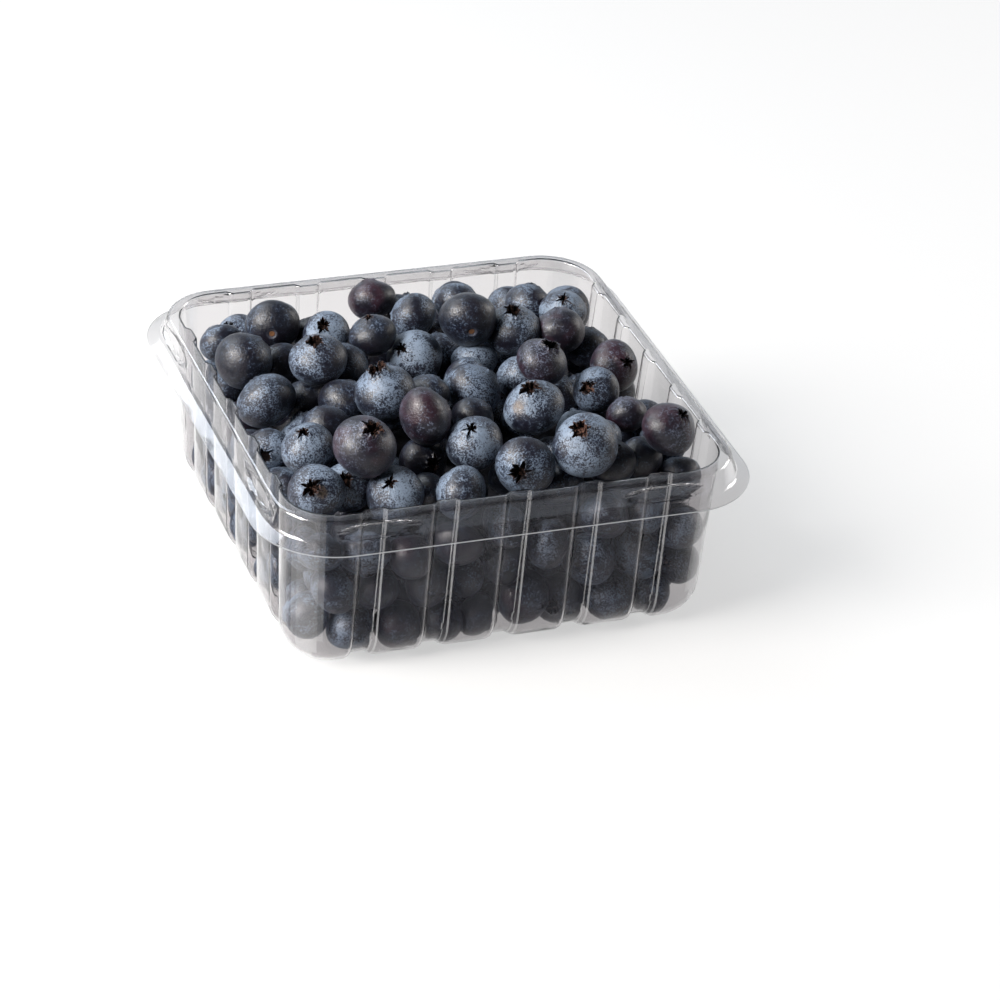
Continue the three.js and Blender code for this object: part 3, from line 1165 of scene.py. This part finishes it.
@dataclass
class BerryPiece:
    """Many berries of one kind, joined into one mesh."""

    name: str
    copies: list[tuple[Array, ...]] = field(default_factory=list)
    point_count: int = 0
    squash: Span = (0.76, 0.90)
    lumps: int = 4
    swell: Span = (-0.045, 0.045)
    lopside: Span = (-0.05, 0.05)
    lump_height: Span = (0.004, 0.011)
    lump_waves: float = 5
    lump_phase: Span = (0, 6)
    bloom_range: Span = (0.75, 1.2)
    ruddy_range: Span = (0.7, 1.1)
    ruddy_more: Span = (0, 0.12)
    mark_edge: float = 0.92
    near: float = 1.02
    hair: float = 0.02 * MM

    def add(
        self, template: Template, berry: Placed, heap: Sequence[Placed], tray: Tray, chance: Chance
    ) -> None:
        """Copies a berry into the piece: made uneven, turned, and flattened where it is pressed.

        Args:
            template: The shape to copy.
            berry: Where it goes.
            heap: All the berries, which press on one another.
            tray: The tray that holds them.
            chance: The source of chance.
        """
        unit = self._uneven(template.points, chance)
        spin = Matrix.Rotation(chance.uniform(0, 2 * math.pi), 3, "Z")
        lean = Vector((0, 0, 1)).rotation_difference(berry.axis).to_matrix()
        turned = unit @ np.array((lean @ spin).transposed())
        points = tray.keep_in(self._flatten(berry.centre + turned * berry.radius, berry, heap))
        bloom, ruddy = berry.look.value
        look = (
            bloom * chance.uniform(*self.bloom_range),
            ruddy * chance.uniform(*self.ruddy_range) + chance.uniform(*self.ruddy_more),
            chance.uniform(*UNIT),
            berry.tan,
        )
        mark = np.zeros(len(points))
        if berry.russet is not None:
            way = turned / np.linalg.norm(turned, axis=1)[:, None]
            mark = ((way @ berry.russet - self.mark_edge) / (1 - self.mark_edge)).clip(0, 1)
        looks = np.tile(look, (len(points), 1))
        corners = template.corners + self.point_count
        self.copies.append((points, template.points, looks, template.inside, mark, corners, template.totals))
        self.point_count += len(points)

    def _uneven(self, round_points: Array, chance: Chance) -> Array:
        """Flattens a round berry towards its crown and makes it lopsided and lumpy.

        Args:
            round_points: The points of the berry as modelled.
            chance: The source of chance.

        Returns:
            The new points.
        """
        points = round_points.copy()
        points[:, 2] *= chance.uniform(*self.squash)
        for _ in range(self.lumps):
            way = chance.normal(size=3)
            along = round_points @ (way / np.linalg.norm(way))
            swell = chance.uniform(*self.swell) * along**2 + chance.uniform(*self.lopside) * along**3
            height, phase = chance.uniform(*self.lump_height), chance.uniform(*self.lump_phase)
            lump = height * np.sin(self.lump_waves * along + phase)
            points *= (1 + swell + lump)[:, None]
        return points

    def _flatten(self, points: Array, berry: Placed, heap: Iterable[Placed]) -> Array:
        """Presses a berry flat where it meets its neighbours.

        Args:
            points: The berry's points.
            berry: The berry.
            heap: All the berries.

        Returns:
            The points, moved back to the plane halfway into each overlap.
        """
        for other in heap:
            way = other.centre - berry.centre
            distance = float(np.linalg.norm(way))
            if other is berry or distance > self.near * (berry.radius + other.radius):
                continue
            way = way / distance
            middle = (distance**2 + berry.radius**2 - other.radius**2) / (2 * distance) - self.hair
            beyond = ((points - berry.centre) @ way - middle).clip(0)
            points = points - beyond[:, None] * way
        return points

    def join(self, material: Material) -> Piece:
        """Joins the copies into one object.

        Args:
            material: The skin.

        Returns:
            The piece.
        """
        mesh = bpy.data.meshes.new(self.name)
        columns = [np.concatenate(column) for column in zip(*self.copies)]
        points, local, looks, inside, marks, corners, totals = columns
        mesh.vertices.add(len(points))
        mesh.vertices.foreach_set("co", points.astype(np.float32).ravel())
        mesh.loops.add(len(corners))
        mesh.loops.foreach_set("vertex_index", corners)
        mesh.polygons.add(len(totals))
        mesh.polygons.foreach_set("loop_start", (np.cumsum(totals) - totals).astype(np.int32))
        mesh.polygons.foreach_set("loop_total", totals)
        mesh.update(calc_edges=True)
        mesh.validate()
        for label, kind, slot, values in (
            ("berry_local", "FLOAT_VECTOR", "vector", local),
            ("berry_look", "FLOAT_COLOR", "color", looks),
            ("crown_inside", "FLOAT", "value", inside),
            ("russet", "FLOAT", "value", marks),
        ):
            attribute = mesh.attributes.new(label, kind, "POINT")
            attribute.data.foreach_set(slot, values.astype(np.float32).ravel())
        mesh.polygons.foreach_set("use_smooth", np.ones(len(totals), bool))
        mesh.materials.append(material)
        piece = bpy.data.objects.new(self.name, mesh)
        bpy.context.scene.collection.objects.link(piece)
        return piece


@dataclass
class Heap:
    """All the berries: those on top in their places, and the rest packed under and beside them."""

    tray: Tray
    view: Viewpoint
    seed: int = 20
    layers: int = 4
    first_layer: float = 6.6 * MM
    layer_height: float = 10.6 * MM
    fill_top: float = 42 * MM
    sight_depth: float = 17 * MM
    pitch: float = 13.6 * MM
    side_columns: int = 4
    radius_mm: Span = (5.7, 7.3)
    jitter_mm: float = 1.2
    top_room: float = 0.72
    hollow_half: float = 31 * MM
    hollow_bottom: float = 10 * MM
    hollow_top: float = 33 * MM
    look_odds: tuple[float, ...] = (0.5, 0.3, 0.14, 0.06)
    away_odds: float = 0.5
    away_around: Span = (-1.2, 1.2)
    away_behind: Span = (0.1, 0.35)
    gap_reach: float = 38 * MM
    gap_step: float = 3 * MM
    gap_heights_mm: tuple[float, ...] = (44.0, 41.5, 39.0, 36.5)
    gap_radius_mm: Span = (5.4, 6.9)
    gap_jitter_mm: float = 1.0
    gap_room: float = 0.90
    gap_odds: tuple[float, ...] = (0.3, 0.35, 0.25, 0.1)
    turns: int = 140
    sink: float = 0.06 * MM
    touch: float = 0.97
    push: float = 0.45
    top_push: float = 0.8
    wall_room: float = 0.96
    rib_share: float = 0.6
    fine: tuple[int, int, int] = (60, 24, 3)
    plain: tuple[int, int, int] = (30, 14, 1)
    under_pieces: int = 2

    def __post_init__(self) -> None:
        """Starts the source of chance."""
        self.chance = np.random.default_rng(self.seed)

    def build(self) -> list[Piece]:
        """Models the berries, packs them and joins them into one piece for each kind.

        Returns:
            The pieces.
        """
        packed = self._pack()
        packed += self._fill_gaps(packed)
        fine = {crown: self._templates(crown, *self.fine) for crown in Crown}
        plain = {crown: self._templates(crown, *self.plain) for crown in Crown}
        makers = {look: BerryPiece(f"berries_{look.name.lower()}") for look in Look}
        under = [BerryPiece(f"berries_under_{n}") for n in range(self.under_pieces)]
        for number, berry in enumerate(packed):
            maker = makers[berry.look] if berry.in_sight else under[number % len(under)]
            templates = (fine if berry.in_sight else plain)[berry.crown]
            maker.add(templates[number % len(templates)], berry, packed, self.tray, self.chance)
        skins = {look: SKINS[look].material() for look in Look}
        pieces = [maker.join(skins[look]) for look, maker in makers.items()]
        return pieces + [maker.join(skins[Look.BLOOMY]) for maker in under]

    @staticmethod
    def _templates(crown: Crown, segments: int, rings: int, count: int) -> list[Template]:
        """Models a few berries with one kind of crown, each torn in its own way.

        Args:
            crown: The kind of crown.
            segments: The berry's segments round its axis.
            rings: Its rings from pole to pole.
            count: How many to model.

        Returns:
            The berries as arrays.
        """
        first = 10 * list(Crown).index(crown)
        return [Template.of(BerryShape(crown, segments, rings, first + n, 5 + n % 2)) for n in range(count)]

    def _pack(self) -> list[Placed]:
        """Places the top berries and settles the others under them.

        Returns:
            Every berry with its place, the top berries first.
        """
        chance = self.chance
        placed = [self._place_top(berry) for berry in TOP_BERRIES]
        centres = np.array([berry.centre for berry in placed])
        radii = np.array([berry.radius for berry in placed])
        spots, sizes = [], []
        for layer in range(self.layers):
            z = self.tray.thickness + self.first_layer + layer * self.layer_height
            half = self.tray.inner_half * self.tray.drawn_in(z) - self.tray.rib_depth / 2
            line = np.arange(-self.side_columns, self.side_columns + 1) * self.pitch
            line = line + (layer % 2) * self.pitch / 2
            for x, y in product(line, line):
                radius = chance.uniform(*self.radius_mm) * MM
                place = np.array([x, y, z]) + chance.uniform(-self.jitter_mm, self.jitter_mm, 3) * MM
                place[:2] = place[:2].clip(radius - half, half - radius)
                # The middle is left empty for the core, a block of painted shade.
                in_core = max(abs(place[:2])) < self.hollow_half and self.hollow_bottom < z < self.hollow_top
                apart = np.linalg.norm(centres - place, axis=1)
                if not in_core and (apart >= self.top_room * (radii + radius)).all():
                    spots.append(place)
                    sizes.append(radius)
        spots, sizes = np.array(spots), np.array(sizes)
        self._settle(spots, sizes, centres, radii)
        surface = self.tray.height - self.sight_depth
        for place, radius in zip(spots, sizes):
            if place[2] > self.fill_top:
                continue
            look = chance.choice(list(Look), p=self.look_odds)
            crown = chance.choice(list(Crown))
            if chance.random() < self.away_odds and place[2] > surface:
                axis = self._turned_away()
            else:
                axis = Vector(chance.normal(size=3)).normalized()
            placed.append(Placed(np.array(place), float(radius), axis, look, crown, place[2] > surface))
        return placed

    def _fill_gaps(self, placed: Sequence[Placed]) -> list[Placed]:
        """Finds room for more berries over the core, just under those on top.

        Args:
            placed: The berries so far.

        Returns:
            The new berries.
        """
        chance = np.random.default_rng(self.seed + 1)
        centres = [berry.centre for berry in placed]
        radii = [berry.radius for berry in placed]
        line = np.arange(-self.gap_reach, self.gap_reach + MM, self.gap_step)
        for z, x, y in product(self.gap_heights_mm, line, line):
            radius = float(chance.uniform(*self.gap_radius_mm) * MM)
            jitter = chance.uniform(-self.gap_jitter_mm, self.gap_jitter_mm, 3) * MM
            place = np.array([x, y, z * MM]) + jitter
            apart = np.linalg.norm(np.array(centres) - place, axis=1)
            if (apart > self.gap_room * (np.array(radii) + radius)).all():
                centres.append(place)
                radii.append(radius)
        added = []
        for place, radius in zip(centres[len(placed) :], radii[len(placed) :]):
            look = chance.choice(list(Look), p=self.gap_odds)
            axis = Vector(chance.normal(size=3)).normalized()
            added.append(Placed(place, radius, axis, look, chance.choice(list(Crown)), True))
        LOG.info("gaps: %d more berries", len(added))
        return added

    def _place_top(self, berry: Berry) -> Placed:
        """Gives a top berry its place and turns its crown the way it faces.

        Args:
            berry: The berry.

        Returns:
            The placed berry.
        """
        centre = np.array([berry.right * MM, berry.behind * MM, self.tray.height + berry.above * MM])
        axis = self.view.facing(*berry.shows) if berry.shows else self._turned_away()
        axis = -axis if berry.scar else axis
        russet = np.array(self.view.facing(*berry.russet)) if berry.russet else None
        radius = berry.width * MM / 2
        return Placed(centre, radius, axis, berry.look, berry.crown, True, float(berry.scar), russet)

    def _turned_away(self) -> Vector:
        """Turns a crown just out of the camera's sight, mostly upwards.

        Returns:
            The direction that it faces.
        """
        around = self.chance.uniform(*self.away_around)
        behind = self.chance.uniform(*self.away_behind)
        return self.view.towards(math.sin(around), math.cos(around), -behind)

    def _settle(self, spots: Array, sizes: Array, centres: Array, radii: Array) -> None:
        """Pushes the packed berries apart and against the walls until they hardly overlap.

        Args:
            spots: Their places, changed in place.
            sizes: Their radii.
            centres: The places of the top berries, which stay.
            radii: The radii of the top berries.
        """
        for _ in range(self.turns):
            spots[:, 2] -= self.sink
            for push, others, other_radii in ((self.push, spots, sizes), (self.top_push, centres, radii)):
                apart = spots[:, None, :] - others[None, :, :]
                distance = np.linalg.norm(apart, axis=2)
                distance[distance == 0] = 1
                lack = (self.touch * (sizes[:, None] + other_radii[None, :]) - distance).clip(0)
                spots += push * (apart / distance[:, :, None] * lack[:, :, None]).sum(axis=1)
            self.tray.keep_in(spots, sizes * self.wall_room, self.rib_share)


@dataclass
class Core:
    """A block standing for the berries deep inside, coloured near black as painted shade; only glimpses of
    it show between those around it.
    """

    half: float = 40 * MM
    low: float = 9 * MM
    high: float = 36 * MM
    rounding: float = 9 * MM
    segments: int = 4
    cuts: int = 6
    lump_size: float = 12 * MM
    lump_height: float = 4 * MM
    lump_level: float = 0.7
    smooth_degrees: float = 60

    def build(self) -> Piece:
        """Models the core from a block with rounded edges and a lumpy skin.

        Returns:
            The core.
        """
        deselect_all()
        bpy.ops.mesh.primitive_cube_add(size=2 * self.half, location=(0, 0, (self.low + self.high) / 2))
        core = bpy.context.object
        core.name = "berry_core"
        core.scale.z = (self.high - self.low) / (2 * self.half)
        settle_in_place(core)
        add_modifier(core, "BEVEL", width=self.rounding, segments=self.segments)
        edit()
        bpy.ops.mesh.select_all(action="SELECT")
        bpy.ops.mesh.subdivide(number_cuts=self.cuts)
        edit(False)
        lumps = bpy.data.textures.new("lumps", "CLOUDS")
        lumps.noise_scale = self.lump_size
        add_modifier(core, "DISPLACE", texture=lumps, strength=self.lump_height, mid_level=self.lump_level)
        bpy.data.textures.remove(lumps)
        smooth_by_angle(core, self.smooth_degrees)
        core.data.materials.append(PaintedShadeMass().material())
        return core


# ---------------- the studio


@dataclass(frozen=True)
class Softbox:
    """A square soft light, with the way to it as the camera sees it, in metres and watts."""

    name: str
    towards: tuple[float, float, float]
    away: float
    size: float
    power: float
    colour: Colour


@dataclass
class Studio:
    """The floor, the soft lights and the camera."""

    view: Viewpoint
    rim: float
    floor_size: float = 6.0
    floor_drop: float = 0.1 * MM
    softboxes: tuple[Softbox, ...] = (
        Softbox("key", (-0.69, 0.32, 0.64), 0.75, 0.38, 13.5, (1.0, 0.97, 0.94)),
        Softbox("side", (0.84, 0.44, -0.26), 0.8, 0.34, 2.5, (1.0, 0.97, 0.95)),
        Softbox("back", (-0.56, 0.82, -0.03), 1.0, 0.62, 6.0, (0.88, 0.94, 1.0)),
    )
    sky: Colour = (0.84, 0.92, 1.0)
    sky_behind: Span = (0.25, 0.85)
    sky_strength: Span = (0.03, 0.50)
    sky_seen: float = 0.85
    glint_front: Span = (-0.85, -0.45)
    glint_strength: float = 0.55
    glint_height: Span = (0.20, 0.42)
    clip_start: float = 0.05

    def build(self) -> None:
        """Lays the floor and sets up the lights and the camera."""
        self._lay_floor()
        for softbox in self.softboxes:
            self._light(softbox)
        self._fill_world()
        self._set_camera()
        bpy.context.scene.view_settings.view_transform = "Standard"

    def _lay_floor(self) -> None:
        """A wide plain floor."""
        deselect_all()
        bpy.ops.mesh.primitive_plane_add(size=self.floor_size, location=(0, 0, -self.floor_drop))
        floor = bpy.context.object
        floor.name = "floor"
        floor.data.materials.append(PaleFloor().material())

    def _light(self, softbox: Softbox) -> None:
        """Hangs a softbox so that it faces the middle of the rim.

        Args:
            softbox: The light's size, place and power.
        """
        way = self.view.towards(*softbox.towards)
        lamp = bpy.data.lights.new(softbox.name, "AREA")
        lamp.shape, lamp.size = "SQUARE", softbox.size
        lamp.energy, lamp.color = softbox.power, softbox.colour
        light = bpy.data.objects.new(softbox.name, lamp)
        bpy.context.scene.collection.objects.link(light)
        light.location = Vector((0, 0, self.rim)) + way * softbox.away
        light.rotation_euler = way.to_track_quat("Z", "Y").to_euler()

    def _fill_world(self) -> None:
        """A dim light all around, a pale backdrop's light behind the punnet and a glint low in front."""
        world = bpy.data.worlds.new("studio")
        bpy.context.scene.world = world
        world.use_nodes = True
        graph = Graph(world.node_tree)
        ray = graph.add("ShaderNodeLightPath").outputs
        towards = graph.add("ShaderNodeTexCoord").outputs["Generated"]
        _, behind, up = graph.add("ShaderNodeSeparateXYZ", {0: towards}).outputs
        dim = graph.ramp(behind, self.sky_behind, self.sky_strength)
        front = graph.ramp(behind, self.glint_front, (self.glint_strength, 0.0))
        front = graph.times(front, ray["Is Glossy Ray"])
        glint = graph.times(front, graph.ramp(up, self.glint_height, (1.0, 0.0)))
        seen = graph.times(ray["Is Camera Ray"], self.sky_seen)
        strength = graph.math("MAXIMUM", graph.math("MAXIMUM", dim, glint), seen)
        pale = graph.add("ShaderNodeBackground", {"Color": self.sky, "Strength": strength})
        graph.add("ShaderNodeOutputWorld", {"Surface": pale.outputs[0]})

    def _set_camera(self) -> None:
        """The camera at its viewpoint."""
        right, up, back = self.view.axes()
        camera = bpy.data.objects.new("camera", bpy.data.cameras.new("camera"))
        bpy.context.scene.collection.objects.link(camera)
        camera.data.lens = self.view.lens
        camera.data.clip_start = self.clip_start
        turned = Matrix((right, up, back)).transposed()
        place = back * self.view.distance + right * self.view.aside + up * self.view.lifted
        camera.matrix_world = Matrix.Translation(place + Vector((0, 0, self.rim))) @ turned.to_4x4()
        bpy.context.scene.camera = camera


# ---------------- the punnet


def dress(piece: Piece, node: str) -> None:
    """Gives a piece its body, hides the CAD node that it stands for, and reports it.

    Args:
        piece: The finished piece.
        node: The CAD node that it stands for.
    """
    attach(piece, BODY)
    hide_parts(node)
    LOG.info("%s: %d faces", piece.name, len(piece.data.polygons))


def main() -> None:
    """Builds the punnet and its studio."""
    logging.basicConfig(level=logging.INFO, format="%(name)s: %(message)s")
    view = Viewpoint()
    tray = Tray()
    build_patches()
    Studio(view, tray.height).build()
    dress(tray.build(), "tray")
    for piece in Heap(tray, view).build():
        dress(piece, "berry_heap")
    # The core: a near-black block of painted shade under the berries.
    dress(Core().build(), "berry_heap")


if __name__ == "__main__":
    main()
